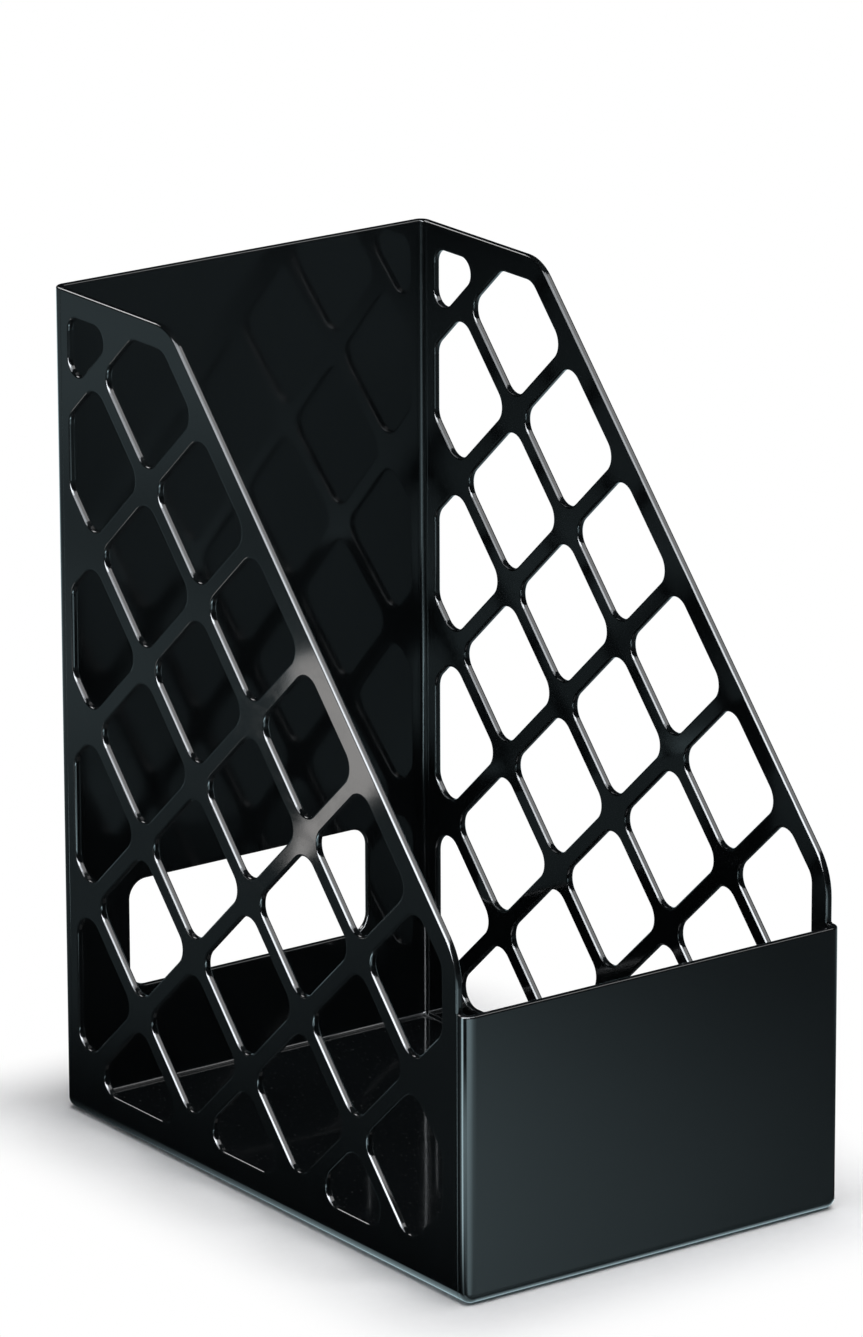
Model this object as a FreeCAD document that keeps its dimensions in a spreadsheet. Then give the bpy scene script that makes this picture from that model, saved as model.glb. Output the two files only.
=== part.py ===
"""Magazine file holder: five moulded panels that join at tongues, grooves, laps and pegs.

Millimetres. +Z is up, +Y points to the tall back and +X to the right seen from the low
front. The origin is on the floor, under the middle of the holder.
"""
import FreeCAD, Part

import os

import Sketcher

SIZES = [
    ("width", 159.0, "outside, left to right"),
    ("depth", 244.0, "outside, front to back"),
    ("height", 303.0, "top of the back panel and of the side panels"),
    ("front_height", 103.0, "top of the front panel"),
    ("wall", 2.5, "thickness of every panel"),
    ("corner_radius", 4.0, "outside rounding of the upright corners and of the foot"),
    ("inner_radius", 1.5, "inside rounding of the same corners"),
    ("edge_radius", 0.8, "rounding of rims and opening edges"),
    ("corner_return", 5.4, "how far front, back and foot turn the corner before the seam"),
    ("top_length", 72.0, "level top of a side panel, from the back face to the slope"),
    ("shoulder_height", 121.2, "where the slope would meet the upright front edge"),
    ("top_bend", 17.0, "bend from the level top into the slope"),
    ("shoulder_bend", 24.0, "bend from the slope into the upright front edge"),
    ("pitch", 46.0, "lattice struts, centre to centre"),
    ("strut", 6.3, "width of a lattice strut"),
    ("first_row", 51.0, "slope to the centre of the first strut along it"),
    ("first_cross", 34.2, "top of the slope to the centre of the first strut across it"),
    ("border", 9.0, "solid border beside the top, slope and front edge"),
    ("back_border", 10.0, "solid border beside the back face"),
    ("foot_border", 12.5, "solid border above the floor"),
    ("opening_radius", 7.0, "corner rounding of the lattice openings"),
    ("corner_opening_radius", 5.5, "the same, in the small opening at the top back corner"),
    ("least_opening", 250.0, "area below which a clipped cell is left solid, square mm"),
    ("tongue", 0.9, "thickness of the tongue along a side panel's upright edges"),
    ("tongue_reach", 1.5, "how far the tongue stands out of the edge"),
    ("groove_play", 0.1, "extra width and depth of the groove over the tongue"),
    ("seam_radius", 0.15, "rounding of the outer edges that meet at an upright seam"),
    ("lap", 4.0, "width of the ledge that carries the base panel"),
    ("base_gap", 0.15, "gap around the base panel"),
    ("peg_radius", 1.2, "base panel's pegs, which fill the holes in the ledge"),
    ("peg_lift", 0.2, "height of the peg ends above the floor"),
    ("side_peg_spacing", 80.0, "pegs along a side ledge, centre to centre"),
    ("end_peg_offset", 45.0, "pegs of the front and back ledges, from the middle"),
    ("hand_hole_width", 104.0, "hand hole in the back panel"),
    ("hand_hole_low", 39.5, "bottom of the hand hole"),
    ("hand_hole_high", 79.5, "top of the hand hole"),
    ("hand_hole_radius", 7.0, "corner rounding of the hand hole"),
]

LATTICE_COLUMNS = range(-1, 8)
LATTICE_ROWS = range(0, 7)
FAR = 1000.0
SAME_PLACE = 0.01

doc = FreeCAD.newDocument("magazine_file_holder")


# The sheet of driving sizes

sheet = doc.addObject("Spreadsheet::Sheet", "sizes")
for row, (alias, value, meaning) in enumerate(SIZES, start=1):
    sheet.set(f"A{row}", meaning)
    sheet.set(f"B{row}", str(value))
    sheet.setAlias(f"B{row}", alias)
doc.recompute()

LEFT = "(-sizes.width / 2)"
RIGHT = "(sizes.width / 2)"
FRONT = "(-sizes.depth / 2)"
BACK = "(sizes.depth / 2)"
FRONT_SEAM = f"({FRONT} + sizes.corner_return)"
BACK_SEAM = f"({BACK} - sizes.corner_return)"
HALF_WALL = "(sizes.wall / 2)"


def size(formula):
    """Value of a formula of the sheet's sizes."""
    return float(sheet.evalExpression(formula))


# Sketches and features

def bind(item, prop, formula):
    item.setExpression(prop, formula)


def new_body(label):
    body = doc.addObject("PartDesign::Body", label)
    body.Label = label
    return body


def new_sketch(body, name, role, offset=None):
    """Sketch on an origin plane of its own body, moved along the plane's normal by offset."""
    sketch = body.newObject("Sketcher::SketchObject", name)
    plane = next(item for item in body.Origin.OriginFeatures if item.Role == role)
    sketch.AttachmentSupport = [(plane, "")]
    sketch.MapMode = "FlatFace"
    if offset:
        bind(sketch, "AttachmentOffset.Base.z", offset)
    return sketch


def place_point(sketch, line, across, up):
    """Fix the start of a line at two formulas, measured from the sketch's origin."""
    for kind, formula in (("DistanceX", across), ("DistanceY", up)):
        constraint = Sketcher.Constraint(kind, -1, 1, line, 1, size(formula))
        index = sketch.addConstraint(constraint)
        bind(sketch, f"Constraints[{index}]", formula)


def draw_polygon(sketch, corners):
    """Closed run of lines through corners that are pairs of formulas."""
    points = [FreeCAD.Vector(size(across), size(up), 0) for across, up in corners]
    first = sketch.GeometryCount
    count = len(points)
    for index in range(count):
        line = Part.LineSegment(points[index], points[(index + 1) % count])
        sketch.addGeometry(line, False)
    for index in range(count):
        joint = (first + index, 2, first + (index + 1) % count, 1)
        sketch.addConstraint(Sketcher.Constraint("Coincident", *joint))
    for index, (across, up) in enumerate(corners):
        place_point(sketch, first + index, across, up)


def draw_rectangle(sketch, left, right, low, high):
    draw_polygon(sketch, [(left, low), (right, low), (right, high), (left, high)])


def draw_circle(sketch, across, up, radius):
    centre = FreeCAD.Vector(size(across), size(up), 0)
    circle = Part.Circle(centre, FreeCAD.Vector(0, 0, 1), size(radius))
    index = sketch.addGeometry(circle, False)
    for kind, formula in (("DistanceX", across), ("DistanceY", up)):
        constraint = Sketcher.Constraint(kind, -1, 1, index, 3, size(formula))
        bind(sketch, f"Constraints[{sketch.addConstraint(constraint)}]", formula)
    constraint = Sketcher.Constraint("Radius", index, size(radius))
    bind(sketch, f"Constraints[{sketch.addConstraint(constraint)}]", radius)


def draw_wires(sketch, wires):
    """Closed wires of straight lines and arcs, drawn in the sketch's own plane."""
    for edge in [edge for wire in wires for edge in wire.Edges]:
        start, end = edge.FirstParameter, edge.LastParameter
        if isinstance(edge.Curve, Part.Circle):
            middle = edge.valueAt((start + end) / 2)
            curve = Part.Arc(edge.valueAt(start), middle, edge.valueAt(end))
        else:
            curve = Part.LineSegment(edge.valueAt(start), edge.valueAt(end))
        sketch.addGeometry(curve, False)


def volume_after(body):
    doc.recompute()
    return body.Shape.Volume


def pad(body, sketch, length):
    """Add the sketch's area, length mm along the sketch plane's normal."""
    before = body.Shape.Volume if body.Tip else 0.0
    feature = body.newObject("PartDesign::Pad", sketch.Name + "_pad")
    feature.Profile = sketch
    bind(feature, "Length", length)
    if volume_after(body) <= before:
        raise RuntimeError(f"{feature.Name} adds nothing")
    return feature


def pocket(body, sketch, length, along_normal):
    """Cut the sketch's area, length mm along the sketch plane's normal or against it."""
    before = body.Shape.Volume
    feature = body.newObject("PartDesign::Pocket", sketch.Name + "_pocket")
    feature.Profile = sketch
    feature.Reversed = along_normal
    bind(feature, "Length", length)
    if volume_after(body) >= before:
        raise RuntimeError(f"{feature.Name} cuts nothing")
    return feature


def round_edges(body, name, radius, chosen):
    """Fillet the edges of the body for which chosen(edge) is true."""
    base = body.Tip
    names = [f"Edge{index}" for index, edge in enumerate(base.Shape.Edges, start=1)
             if chosen(edge)]
    if not names:
        raise RuntimeError(f"{name} finds no edge")
    feature = body.newObject("PartDesign::Fillet", name)
    feature.Base = (base, names)
    bind(feature, "Radius", radius)
    doc.recompute()
    return feature


def lies_at(edge, axis, *places):
    """True where the whole edge lies at one of the places along the axis X, Y or Z."""
    low = getattr(edge.BoundBox, axis + "Min")
    high = getattr(edge.BoundBox, axis + "Max")
    return any(max(abs(low - place), abs(high - place)) < SAME_PLACE for place in places)


# Side view: outline and lattice, drawn with depth across and height up

def slope_frame():
    """Top of the slope, the direction down it and the direction square to it, inwards."""
    top = FreeCAD.Vector(size(f"{BACK} - sizes.top_length"), size("sizes.height"), 0)
    foot = FreeCAD.Vector(size(FRONT_SEAM), size("sizes.shoulder_height"), 0)
    down = (foot - top).normalize()
    inwards = FreeCAD.Vector(-down.y, down.x, 0)
    return top, down, inwards


def window_face():
    """Area inside the solid borders, which the lattice fills."""
    top, down, inwards = slope_frame()
    front = size(f"{FRONT_SEAM} + sizes.border")
    back = size(f"{BACK} - sizes.back_border")
    low = size("sizes.foot_border")
    high = size("sizes.height - sizes.border")
    start = top + inwards * size("sizes.border")
    at_high = start + down * ((high - start.y) / down.y)
    at_front = start + down * ((front - start.x) / down.x)
    corners = [(back, low), (front, low), (front, at_front.y), (at_high.x, high), (back, high)]
    points = [FreeCAD.Vector(x, y, 0) for x, y in corners]
    return Part.Face(Part.makePolygon(points + points[:1]))


def cell_face(along_low, along_high, inward_low, inward_high):
    """Rectangle with its sides along and square to the slope."""
    top, down, inwards = slope_frame()
    corners = [(along_low, inward_low), (along_high, inward_low),
               (along_high, inward_high), (along_low, inward_high)]
    points = [top + down * along + inwards * inward for along, inward in corners]
    return Part.Face(Part.makePolygon(points + points[:1]))


def lattice_cells():
    """Cell rectangles between the struts, each with the radius of its corners."""
    pitch, first_row = size("sizes.pitch"), size("sizes.first_row")
    first_cross, half_strut = size("sizes.first_cross"), size("sizes.strut / 2")
    for column in LATTICE_COLUMNS:
        along_high = first_cross + column * pitch - half_strut
        along_low = along_high - pitch + 2 * half_strut
        if column == LATTICE_COLUMNS[0]:
            # No strut divides the corner opening beyond the last cross strut.
            yield cell_face(-FAR, along_high, -FAR, FAR), size("sizes.corner_opening_radius")
            continue
        for line in LATTICE_ROWS:
            inward_high = first_row + line * pitch - half_strut
            inward_low = inward_high - pitch + 2 * half_strut
            cell = cell_face(along_low, along_high, inward_low, inward_high)
            yield cell, size("sizes.opening_radius")


def lattice_openings():
    """Outline of each opening: a cell clipped by the window, with its corners rounded."""
    window = window_face()
    openings = []
    for cell, radius in lattice_cells():
        clipped = window.common(cell)
        if clipped.Area < size("sizes.least_opening"):
            continue
        core = clipped.Faces[0].makeOffset2D(-radius)
        openings.append(core.makeOffset2D(radius).Wires[0])
    return openings


# Panels

def draw_peg_circles(sketch, places):
    """Section of the base panel's pegs, and of the ledge's holes that they fill."""
    for across, along in places:
        draw_circle(sketch, across, along, "sizes.peg_radius")


def side_peg_places(outer, inward):
    """Three places along a side ledge: inward is the sign, + or -, that leads inwards."""
    across = f"{outer} {inward} (sizes.corner_return + sizes.lap / 2)"
    return [(across, f"{step} * sizes.side_peg_spacing") for step in (-1, 0, 1)]


def end_peg_places(outer, inward):
    """Two places along the front or the back ledge."""
    along = f"{outer} {inward} (sizes.corner_return + sizes.lap / 2)"
    return [(f"{step} * sizes.end_peg_offset", along) for step in (-1, 1)]


def make_left_side_panel():
    body = new_body("left_side_panel")
    outline = new_sketch(body, "side_outline", "YZ_Plane", LEFT)
    draw_polygon(outline, [
        (BACK_SEAM, "0"),
        (BACK_SEAM, "sizes.height"),
        (f"{BACK} - sizes.top_length", "sizes.height"),
        (FRONT_SEAM, "sizes.shoulder_height"),
        (FRONT_SEAM, "0"),
    ])
    pad(body, outline, "sizes.wall")

    top_end = size(f"{BACK} - sizes.top_length")
    round_edges(body, "side_top_bend", "sizes.top_bend",
                lambda edge: lies_at(edge, "Y", top_end)
                and lies_at(edge, "Z", size("sizes.height")))
    round_edges(body, "side_shoulder_bend", "sizes.shoulder_bend",
                lambda edge: lies_at(edge, "Y", size(FRONT_SEAM))
                and lies_at(edge, "Z", size("sizes.shoulder_height")))

    lattice = new_sketch(body, "side_lattice", "YZ_Plane", LEFT)
    draw_wires(lattice, lattice_openings())
    pocket(body, lattice, "sizes.wall", True)

    # Every edge of both faces is rounded, apart from the foot and the back seam.
    faces = (size(LEFT), size(f"{LEFT} + sizes.wall"))
    round_edges(body, "side_edges", "sizes.edge_radius",
                lambda edge: lies_at(edge, "X", *faces)
                and not lies_at(edge, "Y", size(BACK_SEAM)) and not lies_at(edge, "Z", 0))

    # Below the top of the front panel the front edge is square again, to meet its return.
    seam_block = new_sketch(body, "side_front_seam", "XY_Plane")
    draw_rectangle(seam_block, LEFT, f"{LEFT} + sizes.wall",
                   FRONT_SEAM, f"{FRONT_SEAM} + 2 * sizes.edge_radius")
    pad(body, seam_block, "sizes.front_height")

    foot = new_sketch(body, "side_foot", "XY_Plane")
    draw_rectangle(foot, LEFT, f"{LEFT} + sizes.corner_return", FRONT_SEAM, BACK_SEAM)
    pad(body, foot, "sizes.wall")

    ledge = new_sketch(body, "side_ledge", "XY_Plane")
    draw_rectangle(ledge, f"{LEFT} + sizes.corner_return",
                   f"{LEFT} + sizes.corner_return + sizes.lap",
                   f"{FRONT_SEAM} + sizes.lap", f"{BACK_SEAM} - sizes.lap")
    pad(body, ledge, HALF_WALL)

    tongue_low = f"{LEFT} + (sizes.wall - sizes.tongue) / 2"
    tongue_high = f"{LEFT} + (sizes.wall + sizes.tongue) / 2"
    tongue_foot = "sizes.corner_radius"
    front_tongue = new_sketch(body, "side_front_tongue", "XY_Plane", tongue_foot)
    draw_rectangle(front_tongue, tongue_low, tongue_high,
                   f"{FRONT_SEAM} - sizes.tongue_reach", FRONT_SEAM)
    pad(body, front_tongue, "sizes.front_height - 2 * sizes.corner_radius")
    back_tongue = new_sketch(body, "side_back_tongue", "XY_Plane", tongue_foot)
    draw_rectangle(back_tongue, tongue_low, tongue_high,
                   BACK_SEAM, f"{BACK_SEAM} + sizes.tongue_reach")
    pad(body, back_tongue, "sizes.height - 2 * sizes.corner_radius")

    round_edges(body, "side_foot_outside", "sizes.corner_radius",
                lambda edge: lies_at(edge, "X", size(LEFT)) and lies_at(edge, "Z", 0))
    round_edges(body, "side_foot_inside", "sizes.inner_radius",
                lambda edge: lies_at(edge, "X", size(f"{LEFT} + sizes.wall"))
                and lies_at(edge, "Z", size("sizes.wall")))
    round_edges(body, "side_seams", "sizes.seam_radius",
                lambda edge: lies_at(edge, "X", size(LEFT))
                and lies_at(edge, "Y", size(FRONT_SEAM), size(BACK_SEAM)))

    holes = new_sketch(body, "side_peg_holes", "XY_Plane")
    draw_peg_circles(holes, side_peg_places(LEFT, "+"))
    pocket(body, holes, HALF_WALL, True)
    return body


def make_end_panel(label, outer, inward, outward, height):
    """Front or back panel with its outer face at outer; inward and outward are signs."""
    body = new_body(label)
    seam = f"({outer} {inward} sizes.corner_return)"
    inner = f"({outer} {inward} sizes.wall)"
    outer_y, seam_y, inner_y = size(outer), size(seam), size(inner)
    sides = (size(LEFT), size(RIGHT))
    inner_sides = (size(f"{LEFT} + sizes.wall"), size(f"{RIGHT} - sizes.wall"))
    top = size(height)

    block = new_sketch(body, label + "_block", "XY_Plane")
    draw_rectangle(block, LEFT, RIGHT, outer, seam)
    pad(body, block, height)
    round_edges(body, label + "_outside", "sizes.corner_radius",
                lambda edge: (lies_at(edge, "X", *sides) and lies_at(edge, "Y", outer_y))
                or (lies_at(edge, "Z", 0) and not lies_at(edge, "Y", seam_y)))

    hollow = new_sketch(body, label + "_hollow", "XY_Plane", "sizes.wall")
    draw_rectangle(hollow, f"{LEFT} + sizes.wall", f"{RIGHT} - sizes.wall",
                   inner, f"{seam} {inward} sizes.wall")
    pocket(body, hollow, height, True)
    round_edges(body, label + "_inside", "sizes.inner_radius",
                lambda edge: (lies_at(edge, "X", *inner_sides) and lies_at(edge, "Y", inner_y))
                or (lies_at(edge, "Z", size("sizes.wall")) and not lies_at(edge, "Y", seam_y)))

    round_edges(body, label + "_rim", "sizes.edge_radius",
                lambda edge: lies_at(edge, "Z", top) and not lies_at(edge, "Y", seam_y))
    round_edges(body, label + "_seams", "sizes.seam_radius",
                lambda edge: lies_at(edge, "X", *sides) and lies_at(edge, "Y", seam_y))

    ledge = new_sketch(body, label + "_ledge", "XY_Plane")
    draw_rectangle(ledge, f"{LEFT} + sizes.corner_return", f"{RIGHT} - sizes.corner_return",
                   seam, f"{seam} {inward} sizes.lap")
    pad(body, ledge, HALF_WALL)

    groove = "(sizes.tongue + sizes.groove_play)"
    groove_end = f"{seam} {outward} (sizes.tongue_reach + sizes.groove_play)"
    grooves = new_sketch(body, label + "_grooves", "XY_Plane", "sizes.corner_radius")
    for middle in (f"({LEFT} + sizes.wall / 2)", f"({RIGHT} - sizes.wall / 2)"):
        draw_rectangle(grooves, f"{middle} - {groove} / 2", f"{middle} + {groove} / 2",
                       groove_end, seam)
    pocket(body, grooves, f"{height} - 2 * sizes.corner_radius + sizes.groove_play", True)

    holes = new_sketch(body, label + "_peg_holes", "XY_Plane")
    draw_peg_circles(holes, end_peg_places(outer, inward))
    pocket(body, holes, HALF_WALL, True)
    return body


def cut_hand_hole(body):
    """Rounded hole through the back panel, with its edges rounded on both faces."""
    hole = new_sketch(body, "hand_hole", "XZ_Plane", f"-{BACK}")
    draw_rectangle(hole, "-sizes.hand_hole_width / 2", "sizes.hand_hole_width / 2",
                   "sizes.hand_hole_low", "sizes.hand_hole_high")
    pocket(body, hole, "sizes.wall", True)
    ends = (size("-sizes.hand_hole_width / 2"), size("sizes.hand_hole_width / 2"))
    levels = (size("sizes.hand_hole_low"), size("sizes.hand_hole_high"))
    round_edges(body, "hand_hole_corners", "sizes.hand_hole_radius",
                lambda edge: lies_at(edge, "X", *ends) and lies_at(edge, "Z", *levels))

    faces = (size(BACK), size(f"{BACK} - sizes.wall"))
    around_hole = FreeCAD.BoundBox(ends[0], faces[1], levels[0], ends[1], faces[0], levels[1])
    around_hole.enlarge(SAME_PLACE)
    round_edges(body, "hand_hole_edges", "sizes.edge_radius",
                lambda edge: lies_at(edge, "Y", *faces) and around_hole.isInside(edge.BoundBox))


def make_base_panel():
    body = new_body("base_panel")
    clear = "(sizes.corner_return + sizes.base_gap)"
    upper = new_sketch(body, "base_upper", "XY_Plane", HALF_WALL)
    draw_rectangle(upper, f"{LEFT} + {clear}", f"{RIGHT} - {clear}",
                   f"{FRONT} + {clear}", f"{BACK} - {clear}")
    pad(body, upper, HALF_WALL)
    lapped = "(sizes.corner_return + sizes.lap + sizes.base_gap)"
    lower = new_sketch(body, "base_lower", "XY_Plane")
    draw_rectangle(lower, f"{LEFT} + {lapped}", f"{RIGHT} - {lapped}",
                   f"{FRONT} + {lapped}", f"{BACK} - {lapped}")
    pad(body, lower, "sizes.wall")
    pegs = new_sketch(body, "base_pegs", "XY_Plane", "sizes.peg_lift")
    places = side_peg_places(LEFT, "+") + side_peg_places(RIGHT, "-")
    places += end_peg_places(FRONT, "+") + end_peg_places(BACK, "-")
    draw_peg_circles(pegs, places)
    pad(body, pegs, "sizes.wall - 2 * sizes.peg_lift")
    return body


left_side_panel = make_left_side_panel()
right_side_panel = doc.addObject("Part::Mirroring", "right_side_panel")
right_side_panel.Label = "right_side_panel"
right_side_panel.Source = left_side_panel
right_side_panel.Normal = FreeCAD.Vector(1, 0, 0)
front_panel = make_end_panel("front_panel", FRONT, "+", "-", "sizes.front_height")
back_panel = make_end_panel("back_panel", BACK, "-", "+", "sizes.height")
cut_hand_hole(back_panel)
base_panel = make_base_panel()
doc.recompute()


# Checks and files

PANELS = [left_side_panel, right_side_panel, front_panel, back_panel, base_panel]

failed = [item.Name for item in doc.Objects if {"Invalid", "Error"} & set(item.State)]
if failed:
    raise RuntimeError("failed objects: " + ", ".join(failed))
for panel in PANELS:
    if panel.Shape.isNull() or not panel.Shape.isValid() or len(panel.Shape.Solids) != 1:
        raise RuntimeError(f"{panel.Label} is not one valid solid")

os.makedirs("parts", exist_ok=True)
for panel in PANELS:
    panel.Shape.exportStep(f"parts/{panel.Label}.step")
    print(panel.Label, round(panel.Shape.Volume / 1000, 2), "cm3")
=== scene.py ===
"""Magazine file holder: finish, floor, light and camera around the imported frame. Metres."""

import math

import bpy
from mathutils import Matrix, Vector


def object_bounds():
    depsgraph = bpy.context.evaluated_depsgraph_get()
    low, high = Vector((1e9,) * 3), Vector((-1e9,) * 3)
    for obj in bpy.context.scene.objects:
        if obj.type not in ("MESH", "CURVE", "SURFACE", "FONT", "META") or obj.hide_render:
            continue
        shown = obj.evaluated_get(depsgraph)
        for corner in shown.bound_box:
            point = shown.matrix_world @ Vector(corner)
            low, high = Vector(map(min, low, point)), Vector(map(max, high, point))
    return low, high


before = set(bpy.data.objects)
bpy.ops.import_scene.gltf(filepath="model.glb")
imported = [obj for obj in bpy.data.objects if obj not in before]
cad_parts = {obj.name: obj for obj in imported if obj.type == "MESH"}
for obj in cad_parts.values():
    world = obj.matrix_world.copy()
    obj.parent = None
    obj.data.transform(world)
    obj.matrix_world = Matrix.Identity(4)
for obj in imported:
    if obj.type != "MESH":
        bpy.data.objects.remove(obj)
CAD_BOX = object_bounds()

MM = 0.001
LEFT, FRONT = CAD_BOX[0][0], CAD_BOX[0][1]
RIGHT, BACK, TOP = CAD_BOX[1]
WHITE = (1.0, 1.0, 1.0, 1.0)


# Node materials

class NodeTree:
    """Small helper that adds and links shader nodes of one material."""

    # A mix node has a pair of inputs and an output for each kind of data; these are for colours.
    MIX_FIRST, MIX_SECOND, MIX_RESULT = 6, 7, 2

    def __init__(self, name):
        self.material = bpy.data.materials.new(name)
        self.material.use_nodes = True
        self.nodes = self.material.node_tree.nodes
        self.links = self.material.node_tree.links
        self.shader = self.nodes["Principled BSDF"]
        self.place = self.add("ShaderNodeTexCoord").outputs["Object"]

    def add(self, kind, inputs=None, **settings):
        """Node of a kind; an input's value is a number, a colour or another node's output."""
        node = self.nodes.new(kind)
        for name, value in settings.items():
            setattr(node, name, value)
        for name, value in (inputs or {}).items():
            self.put(node.inputs[name], value)
        return node

    def put(self, socket, value):
        """Link a node's output to a socket, or set the socket to a number or a colour."""
        if isinstance(value, bpy.types.NodeSocket):
            self.links.new(value, socket)
        else:
            socket.default_value = value

    def math(self, operation, *values):
        node = self.add("ShaderNodeMath", dict(enumerate(values)), operation=operation)
        return node.outputs[0]

    def ramp(self, value, low, high, at_low=0.0, at_high=1.0):
        """Smooth change from at_low to at_high while value goes from low to high."""
        node = self.add("ShaderNodeMapRange", {
            "Value": value, "From Min": low, "From Max": high, "To Min": at_low, "To Max": at_high,
        }, interpolation_type="SMOOTHSTEP")
        return node.outputs["Result"]

    def band(self, value, start, full, fading, end):
        """1 while value is between full and fading, 0 before start and after end."""
        rising = self.ramp(value, start, full)
        return self.math("MULTIPLY", rising, self.ramp(value, fading, end, 1.0, 0.0))

    def noise(self, place, size, detail=2.0, roughness=0.5, distortion=0.0):
        """Cloudy noise with features of about the given size in metres."""
        node = self.add("ShaderNodeTexNoise", {
            "Vector": place, "Scale": 1.0 / size, "Detail": detail,
            "Roughness": roughness, "Distortion": distortion,
        })
        return node.outputs["Fac"]

    def stretched(self, scale):
        """The place with each axis scaled; a scale under 1 draws a pattern out along its axis."""
        return self.add("ShaderNodeMapping", {"Vector": self.place, "Scale": scale}).outputs[0]

    def mix(self, share, first, second):
        """Colour that goes from first to second as share goes from 0 to 1."""
        node = self.add("ShaderNodeMix", data_type="RGBA")
        self.put(node.inputs["Factor"], share)
        self.put(node.inputs[self.MIX_FIRST], first)
        self.put(node.inputs[self.MIX_SECOND], second)
        return node.outputs[self.MIX_RESULT]

    def split(self, vector):
        """The X, Y and Z of a vector."""
        return self.add("ShaderNodeSeparateXYZ", {"Vector": vector}).outputs

    def distance(self, *centre):
        node = self.add("ShaderNodeVectorMath", {0: self.place, 1: centre}, operation="DISTANCE")
        return node.outputs["Value"]

    def bearing(self, across, along):
        """Angle about a point of the floor, in degrees: 0 to the left, 90 to the back."""
        place = self.split(self.place)
        behind = self.math("SUBTRACT", place["Y"], along)
        outwards = self.math("SUBTRACT", across, place["X"])
        return self.math("DEGREES", self.math("ARCTAN2", behind, outwards))

    def finish(self, shader_output):
        """Make a shader the material's surface, and return the material."""
        self.put(self.nodes["Material Output"].inputs["Surface"], shader_output)
        return self.material


# Plastic

PLASTIC = (0.0034, 0.0042, 0.0047, 1.0)
PALER_PLASTIC = (0.00442, 0.00546, 0.00611, 1.0)
WORN_PLASTIC = (0.010, 0.012, 0.013, 1.0)
DUST = (0.09, 0.09, 0.088, 1.0)
WORN_SHARE = 0.6
DUST_SHARE = 0.35

CLOUD_SIZE = 70 * MM
SMEAR_SIZE = 16 * MM
RIPPLE_SIZE = 55 * MM
GRAIN_SIZE = 0.55 * MM
SPECK_SIZE = 1.3 * MM

PLASTIC_IOR = 1.55
CLEAN_ROUGHNESS, SMEARED_ROUGHNESS = 0.040, 0.085
GRAIN_ROUGHNESS, WORN_ROUGHNESS, DUST_ROUGHNESS = 0.015, 0.05, 0.30
RIPPLE_HEIGHT = 0.10 * MM
GRAIN_HEIGHT = 0.0016 * MM


def moulded_plastic(name, flow):
    """Glossy black polystyrene: sink ripple, flow lines along flow, handling marks and dust."""
    tree = NodeTree(name)
    facing = tree.split(tree.add("ShaderNodeNewGeometry").outputs["Normal"])

    clouds = tree.noise(tree.place, CLOUD_SIZE, detail=3.0)
    smears = tree.noise(tree.stretched(flow), SMEAR_SIZE, detail=5.0, roughness=0.62, distortion=1.4)
    grain = tree.noise(tree.place, GRAIN_SIZE, detail=2.0, roughness=0.7)
    specks = tree.noise(tree.place, SPECK_SIZE, detail=3.0, roughness=0.75)

    # Dust settles where a face looks up; the handled edges are a little paler and duller.
    level = tree.ramp(facing["Z"], 0.55, 0.98)
    dust = tree.math("MULTIPLY", tree.ramp(specks, 0.62, 0.72), level)
    worn = tree.math("MULTIPLY", edge_wear(tree, facing), tree.ramp(smears, 0.42, 0.62, 0.25, 1.0))

    shade = tree.mix(tree.ramp(clouds, 0.3, 0.7), PLASTIC, PALER_PLASTIC)
    shade = tree.mix(tree.math("MULTIPLY", worn, WORN_SHARE), shade, WORN_PLASTIC)
    shade = tree.mix(tree.math("MULTIPLY", dust, DUST_SHARE), shade, DUST)
    tree.put(tree.shader.inputs["Base Color"], shade)

    rough = tree.ramp(smears, 0.38, 0.74, CLEAN_ROUGHNESS, SMEARED_ROUGHNESS)
    for mark, added in ((grain, GRAIN_ROUGHNESS), (worn, WORN_ROUGHNESS), (dust, DUST_ROUGHNESS)):
        rough = tree.math("MULTIPLY_ADD", mark, added, rough)
    tree.put(tree.shader.inputs["Roughness"], rough)
    tree.shader.inputs["IOR"].default_value = PLASTIC_IOR

    ripple = tree.add("ShaderNodeBump", {
        "Height": tree.noise(tree.stretched(flow), RIPPLE_SIZE, detail=1.0),
        "Strength": 1.0, "Distance": RIPPLE_HEIGHT,
    })
    fine = tree.add("ShaderNodeBump", {
        "Height": grain, "Strength": 1.0, "Distance": GRAIN_HEIGHT,
        "Normal": ripple.outputs["Normal"],
    })
    tree.put(tree.shader.inputs["Normal"], fine.outputs["Normal"])
    return tree.material


def edge_wear(tree, facing):
    """1 where a face looks along no axis, as roundings and slanted edges do; 0 on the walls."""
    straight = 0.0
    for axis in ("X", "Y", "Z"):
        straight = tree.math("MAXIMUM", straight, tree.math("ABSOLUTE", facing[axis]))
    return tree.ramp(straight, 0.80, 0.97, 1.0, 0.0)


# The melt ran along each panel, and its smears and ripple are drawn out that way.
FLOW = {
    "left_side_panel": (1.0, 0.55, 1.0),
    "right_side_panel": (1.0, 0.55, 1.0),
    "front_panel": (0.5, 1.0, 1.0),
    "back_panel": (1.0, 1.0, 0.55),
    "base_panel": (1.0, 0.55, 1.0),
}
for node_name, node_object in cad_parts.items():
    node_object.data.materials.clear()
    node_object.data.materials.append(moulded_plastic("gloss_black_" + node_name, FLOW[node_name]))


# Floor: one plane takes the light and the shadow, another glows with painted light and shade for the
# plastic to mirror.

FLOOR_SIZE = 24.0
PAPER = (0.88, 0.88, 0.89, 1.0)
PALER_PAPER = (0.92, 0.92, 0.93, 1.0)
PAPER_ROUGHNESS = 0.7
FIBRE_SIZE = 4 * MM
# Distances from the foot between which the paper gives way to the bright sweep.
SWEEP_GAP = (3 * MM, 55 * MM)


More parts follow.
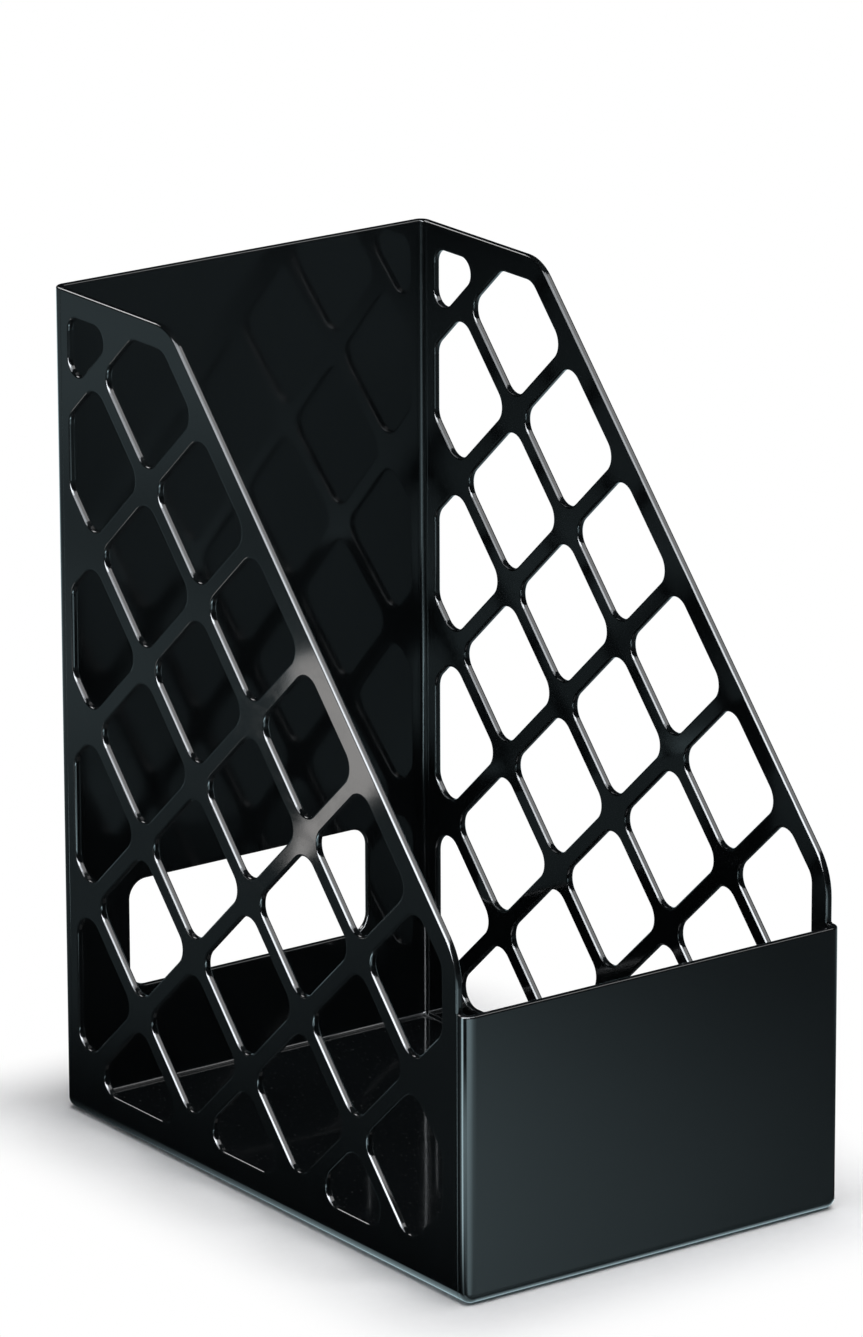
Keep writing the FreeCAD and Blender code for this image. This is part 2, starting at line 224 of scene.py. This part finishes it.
def plane(name, height, material):
    bpy.ops.mesh.primitive_plane_add(size=FLOOR_SIZE, location=(0.0, 0.0, height))
    made = bpy.context.object
    made.name = name
    made.data.materials.append(material)
    return made


def gap_to_foot(tree):
    """Distance on the floor from the rectangle that the holder stands on."""
    across, along = tree.split(tree.place)[:2]
    total = 0.0
    for axis, reach in ((across, RIGHT), (along, BACK)):
        outside = tree.math("MAXIMUM", tree.math("SUBTRACT", tree.math("ABSOLUTE", axis), reach), 0.0)
        total = tree.math("ADD", total, tree.math("MULTIPLY", outside, outside))
    return tree.math("SQRT", total)


def lit_floor():
    """Pale paper near the holder that fades into an evenly bright sweep."""
    tree = NodeTree("pale_floor")
    fibres = tree.noise(tree.place, FIBRE_SIZE, detail=4.0)
    tree.put(tree.shader.inputs["Base Color"], tree.mix(fibres, PAPER, PALER_PAPER))
    tree.shader.inputs["Roughness"].default_value = PAPER_ROUGHNESS
    sweep = tree.add("ShaderNodeEmission", {"Color": WHITE, "Strength": 1.0})
    away = tree.ramp(gap_to_foot(tree), *SWEEP_GAP)
    blend = tree.add("ShaderNodeMixShader", {0: away, 1: tree.shader.outputs[0], 2: sweep.outputs[0]})
    return tree.finish(blend.outputs[0])


# The painted reflection plane: its glow is painted light and shade. Bearings are those of
# NodeTree.bearing about the front left corner, apart from the wedge's, which are about the wedge's
# tip.

# Tint of the painted light that the plastic mirrors.
REFLECTED_LIGHT_TINT = (0.68, 0.92, 1.0, 1.0)

# A painted pool of light: its centre, the radii where it is full and gone, and its brightness.
FRONT_POOLS = [
    ((-0.35, -0.42), 0.05, 0.60, 1.95),
    ((-0.26, -0.12), 0.03, 0.17, 1.4),
]
POOLS = [
    ((-0.66, 1.00), 0.05, 0.40, 0.22),
    ((-0.30, 0.62), 0.05, 0.28, 0.17),
    ((0.90, 0.60), 0.10, 0.90, 0.80),
    ((0.55, 0.15), 0.06, 0.46, 0.90),
    ((0.15, 1.00), 0.10, 0.62, 1.00),
]
# The front pools end between these bearings, so that the left wall doesn't mirror them.
FRONT_BEARINGS = (36.0, 50.0)
# Painted light between the pools; the second grows between two places along the floor.
FRONT_DIM_LIGHT = 0.07
DIM_LIGHT = (0.05, 0.30, 0.05, 0.13)

# A painted strip of light, or a band of painted shade: the bearings where it starts, is full, fades
# and ends.
CORNER_STRIPS = [
    ((8.0, 13.0, 24.0, 31.0), 6.5),
    ((-100.0, -48.0, -34.0, -28.0), 1.3),
]
CORNER_SHADE_BAND = (-31.0, -25.0, -2.0, 6.0)
# Distances from the corner where the strips and the painted shade band end, and where the shade band
# thins out.
CORNER_REACH = (0.30, 0.42)
SHADE_BAND_NEAR_CORNER = (0.16, 0.25, 0.1, 1.0)

# Painted light left in the painted shadow beside the holder, and how far that shadow reaches from
# each face.
SHADOW_LIGHT = 0.06
SHADOW_BESIDE, SHADOW_BEFORE, SHADOW_AFTER = 0.09, 0.01, 0.12

# A painted bright line round the foot: its edge, its light at the front and the back, and the share
# of it that is left before the front panel.
FOOT_LINE_GAP = (3 * MM, 7 * MM)
FOOT_LINE_LIGHT = (1.25, 0.05)
FOOT_LINE_BEFORE = 0.12

# A painted wedge of light with bent sides; each bend turns them by so many degrees between two
# places.
WEDGE_GLOW_COLOUR = (1.0, 0.98, 0.96, 1.0)
WEDGE_GLOW_LIGHT = 2.6
WEDGE_TIP = (-0.290, 0.285)
WEDGE_SIDES = (34.5, 36.0, 48.2, 49.4)
WEDGE_BENDS = [(0.31, 0.36, 3.0, 0.0), (0.36, 0.47, 0.0, 6.0)]
WEDGE_END = (0.513, 0.521)


def painted_reflection_floor():
    """Painted glow for the gloss: pools of light on dark ground, a foot line, a bright wedge, and
    painted shadow along the sides.
    """
    tree = NodeTree("painted_reflection_floor")
    across, along = tree.split(tree.place)[:2]
    angle = tree.bearing(LEFT, FRONT)
    front_light = add_pools(tree, FRONT_DIM_LIGHT, FRONT_POOLS)
    other_light = add_pools(tree, tree.ramp(along, *DIM_LIGHT), POOLS)
    seen_in_front = tree.ramp(angle, *FRONT_BEARINGS, 1.0, 0.0)
    light = tree.math("MULTIPLY_ADD", front_light, seen_in_front, other_light)
    light = light_corner(tree, light, angle)
    # Painted shadow of the holder on the glow.
    light = tree.math("MULTIPLY", light, out_of_shadow(tree, across, along))
    # Painted line of light round the foot.
    light = tree.math("ADD", light, foot_line(tree, along))
    # Painted light: a bright wedge whose reflection is the grey patch on the slope.
    wedge_glow = painted_light_wedge(tree, along)
    light = tree.math("MULTIPLY_ADD", wedge_glow, WEDGE_GLOW_LIGHT, light)
    colour = tree.mix(wedge_glow, REFLECTED_LIGHT_TINT, WEDGE_GLOW_COLOUR)
    glow = tree.add("ShaderNodeEmission", {"Color": colour, "Strength": light})
    return tree.finish(glow.outputs[0])


def add_pools(tree, light, pools):
    """Light with round soft-edged painted pools of light added to it."""
    for centre, near, far, strength in pools:
        pool = tree.ramp(tree.distance(*centre, 0.0), near, far, strength, 0.0)
        light = tree.math("ADD", light, pool)
    return light


def light_corner(tree, light, angle):
    """Light with painted strips of light and a band of painted shade, for the rounded front left
    corner.
    """
    from_corner = tree.distance(LEFT, FRONT, 0.0)
    close = tree.ramp(from_corner, *CORNER_REACH, 1.0, 0.0)
    # Painted shade: a dark band cut into the painted light.
    shade_band = tree.math("MULTIPLY", tree.band(angle, *CORNER_SHADE_BAND), close)
    shade_band = tree.math("MULTIPLY", shade_band, tree.ramp(from_corner, *SHADE_BAND_NEAR_CORNER))
    light = tree.math("MULTIPLY", light, tree.math("SUBTRACT", 1.0, shade_band))
    for bearings, strength in CORNER_STRIPS:
        strip = tree.math("MULTIPLY", tree.band(angle, *bearings), close)
        light = tree.math("MULTIPLY_ADD", strip, strength, light)
    return light


def out_of_shadow(tree, across, along):
    """Share of the light that a painted shadow of the holder leaves, least along the two sides."""
    sideways = tree.math("SUBTRACT", tree.math("ABSOLUTE", across), RIGHT)
    beside = tree.ramp(sideways, 0.0, SHADOW_BESIDE, SHADOW_LIGHT)
    before = tree.ramp(tree.math("SUBTRACT", FRONT, along), 0.0, SHADOW_BEFORE)
    after = tree.ramp(tree.math("SUBTRACT", along, BACK), 0.0, SHADOW_AFTER)
    return tree.math("MAXIMUM", beside, tree.math("MAXIMUM", before, after))


def foot_line(tree, along):
    """Painted line of light round the foot, which fades to the back and is weak before the front."""
    near = tree.ramp(gap_to_foot(tree), *FOOT_LINE_GAP, 1.0, 0.0)
    line = tree.math("MULTIPLY", near, tree.ramp(along, FRONT, BACK, *FOOT_LINE_LIGHT))
    ahead = tree.math("SUBTRACT", FRONT, along)
    return tree.math("MULTIPLY", line, tree.ramp(ahead, -1 * MM, 1 * MM, 1.0, FOOT_LINE_BEFORE))


def painted_light_wedge(tree, along):
    """A painted wedge of light on the plane: its reflection is the grey patch on the left wall's
    slope.
    """
    turned = tree.bearing(*WEDGE_TIP)
    for bend in WEDGE_BENDS:
        turned = tree.math("SUBTRACT", turned, tree.ramp(along, *bend))
    wedge = tree.band(turned, *WEDGE_SIDES)
    return tree.math("MULTIPLY", wedge, tree.ramp(along, *WEDGE_END, 1.0, 0.0))


floor = plane("floor", -0.2 * MM, lit_floor())
floor.visible_glossy = False
floor.visible_shadow = False
# A plane that glows with painted light and painted shadow, seen only in the gloss.
reflection_plane = plane("painted_reflection_plane", -0.4 * MM, painted_reflection_floor())
reflection_plane.visible_camera = False
reflection_plane.visible_diffuse = False
reflection_plane.visible_shadow = False


# Light

world = bpy.data.worlds.new("studio")
world.use_nodes = True
background = world.node_tree.nodes["Background"]
background.inputs["Color"].default_value = WHITE
background.inputs["Strength"].default_value = 1.0
world.cycles_visibility.diffuse = False
world.cycles_visibility.glossy = False
bpy.context.scene.world = world

MIDDLE = Vector((0.0, 0.0, TOP / 2))
NEUTRAL = (1.0, 1.0, 1.0)
COOL = (0.91, 0.955, 1.0)


def softbox(name, toward, distance, size, radiance, turn=0.0, mirrored=True, colour=NEUTRAL):
    """Rectangular light, seen toward a direction from the middle of the holder.

    A mirrored one is seen in the gloss only; the others only light the floor and the plastic.
    """
    width, height = size
    data = bpy.data.lights.new(name, "AREA")
    data.shape = "RECTANGLE"
    data.size = width
    data.size_y = height
    data.energy = radiance * math.pi * width * height
    data.color = colour
    lamp = bpy.data.objects.new(name, data)
    direction = Vector(toward).normalized()
    lamp.location = MIDDLE + direction * distance
    aim = direction.to_track_quat("Z", "Y").to_matrix() @ Matrix.Rotation(math.radians(turn), 3, "Z")
    lamp.rotation_euler = aim.to_euler()
    lamp.visible_diffuse = not mirrored
    lamp.visible_glossy = mirrored
    bpy.context.scene.collection.objects.link(lamp)
    return lamp


def fade_along(lamp, low, high, at_low, at_high):
    """Change a softbox's brightness along its width, between two places measured from its middle."""
    lamp.data.use_nodes = True
    nodes, links = lamp.data.node_tree.nodes, lamp.data.node_tree.links
    geometry = nodes.new("ShaderNodeNewGeometry")
    split = nodes.new("ShaderNodeSeparateXYZ")
    fade = nodes.new("ShaderNodeMapRange")
    fade.interpolation_type = "SMOOTHSTEP"
    fade.inputs["From Min"].default_value = 0.5 + low / lamp.data.size
    fade.inputs["From Max"].default_value = 0.5 + high / lamp.data.size
    fade.inputs["To Min"].default_value = at_low
    fade.inputs["To Max"].default_value = at_high
    links.new(geometry.outputs["Parametric"], split.inputs[0])
    links.new(split.outputs["X"], fade.inputs["Value"])
    links.new(fade.outputs["Result"], nodes["Emission"].inputs["Strength"])


key = softbox("key", toward=(-0.83, -0.13, 0.54), distance=1.1, size=(0.8, 2.0), radiance=15.0,
              turn=-44.0, colour=COOL)
fade_along(key, low=-0.20, high=0.17, at_low=0.38, at_high=1.65)
softbox("key_spill", toward=(0.02, -0.49, 0.87), distance=1.1, size=(0.7, 0.7), radiance=6.0,
        colour=COOL)
softbox("overhead_card", toward=(0.558, -0.364, 0.746), distance=1.8, size=(0.7, 0.7), radiance=3.0)
softbox("back_card", toward=(-0.298, 0.774, 0.558), distance=1.5, size=(0.6, 0.4), radiance=7.0)
softbox("soft_top", toward=(0.16, -0.16, 0.97), distance=1.2, size=(1.6, 1.6), radiance=3.2,
        mirrored=False)


# Camera

CAMERA_PLACE = Vector((-1.6857, -2.3321, 1.0782))
CAMERA_AZIMUTH = math.radians(35.772)
CAMERA_DOWN = math.radians(17.345)
CAMERA_ROLL = math.radians(-0.19)
CAMERA_FOCAL_PIXELS = 8730.0
IMAGE_LONG_SIDE = 1337
SENSOR = 36.0
CAMERA_REACH = 100.0

forward = Vector((math.sin(CAMERA_AZIMUTH) * math.cos(CAMERA_DOWN),
                  math.cos(CAMERA_AZIMUTH) * math.cos(CAMERA_DOWN),
                  -math.sin(CAMERA_DOWN)))
level = Vector((math.cos(CAMERA_AZIMUTH), -math.sin(CAMERA_AZIMUTH), 0.0))
upright = level.cross(forward)
right = level * math.cos(CAMERA_ROLL) + upright * math.sin(CAMERA_ROLL)
up = right.cross(forward)
rotation = Matrix((right, up, -forward)).transposed().to_4x4()

camera_data = bpy.data.cameras.new("camera")
camera_data.sensor_width = SENSOR
camera_data.lens = CAMERA_FOCAL_PIXELS * SENSOR / IMAGE_LONG_SIDE
camera_data.clip_end = CAMERA_REACH
camera = bpy.data.objects.new("camera", camera_data)
camera.matrix_world = Matrix.Translation(CAMERA_PLACE) @ rotation
bpy.context.scene.collection.objects.link(camera)
bpy.context.scene.camera = camera

bpy.context.scene.view_settings.view_transform = "Standard"
